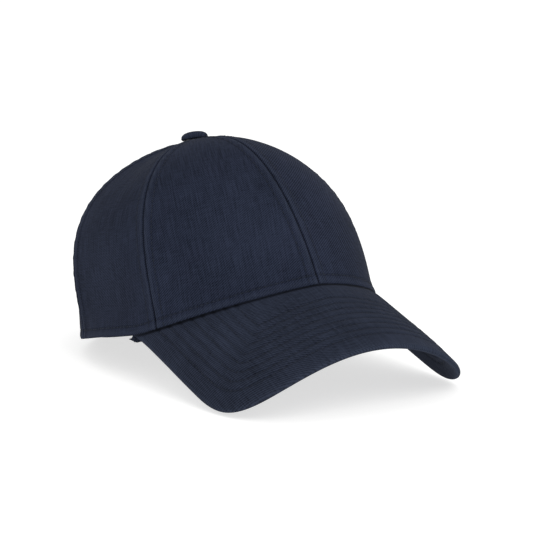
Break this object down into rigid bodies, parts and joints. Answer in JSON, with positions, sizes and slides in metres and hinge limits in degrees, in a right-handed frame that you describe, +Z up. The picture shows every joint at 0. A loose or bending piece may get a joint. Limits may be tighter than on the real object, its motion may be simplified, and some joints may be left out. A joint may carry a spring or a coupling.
{
  "type": "baseball cap",
  "caption": "Six-panel fabric cap with a curved stiffened brim, a covered top button, an inner sweatband and an adjustable back strap with a clamp buckle.",
  "frame": {"origin": "middle of the bounding box at the surface the cap stands on, on its two brim corners and the back of its hem", "axes": "+Z up, brim towards -Y, wearer's right towards -X"},
  "size_m": [0.1652, 0.2712, 0.1325],
  "materials": {
    "crown_twill": "woven cotton twill, dark navy, matt",
    "brim_twill": "woven cotton twill, dark navy, matt",
    "buckram": "stiff open-weave interlining",
    "tape_cotton": "plain woven seam binding, dark navy",
    "sweatband_cotton": "brushed cotton twill band, dark navy",
    "foam": "thin open-cell foam, stands in as rubber",
    "brim_plastic": "flexible polyethylene board",
    "button_metal": "pressed sheet",
    "rivet_metal": "turned and set",
    "buckle_metal": "antique brushed finish",
    "label_satin": "blank woven satin"
  },
  "bodies": {
    "cap": {"arch_binding": "tape_cotton", "brim_board": "brim_plastic", "brim_top_cover": "brim_twill", "brim_under_cover": "brim_twill", "buckle_frame": "buckle_metal", "buckle_pin": "buckle_metal", "buckle_tab": "brim_twill", "button_back_plate": "button_metal", "button_cover": "crown_twill", "button_rivet": "rivet_metal", "button_shell": "button_metal", "care_label": "label_satin", "crown_panel_back_left": "crown_twill", "crown_panel_back_right": "crown_twill", "crown_panel_front_left": "crown_twill", "crown_panel_front_right": "crown_twill", "crown_panel_side_left": "crown_twill", "crown_panel_side_right": "crown_twill", "front_stiffener_left": "buckram", "front_stiffener_right": "buckram", "seam_tape_back_centre": "tape_cotton", "seam_tape_back_left": "tape_cotton", "seam_tape_back_right": "tape_cotton", "seam_tape_front_centre": "tape_cotton", "seam_tape_front_left": "tape_cotton", "seam_tape_front_right": "tape_cotton", "size_label": "label_satin", "sweatband": "sweatband_cotton", "sweatband_padding": "foam"},
    "strap": {"strap": "brim_twill"},
    "buckle_lever": {"buckle_lever": "buckle_metal"}
  },
  "joints": [
    {"name": "strap_slide", "type": "hinge", "parent": "cap", "child": "strap", "pos_m": [0, 0.05432, 0.01558], "axis": [0, 0.2054, 0.9787], "range_deg": [-10.01, 10.01]},
    {"name": "buckle_lever_hinge", "type": "hinge", "parent": "cap", "child": "buckle_lever", "pos_m": [-0.01476, 0.12539, 0.01258], "axis": [0.0326, -0.3161, -0.9482], "range_deg": [0, 100]}
  ]
}
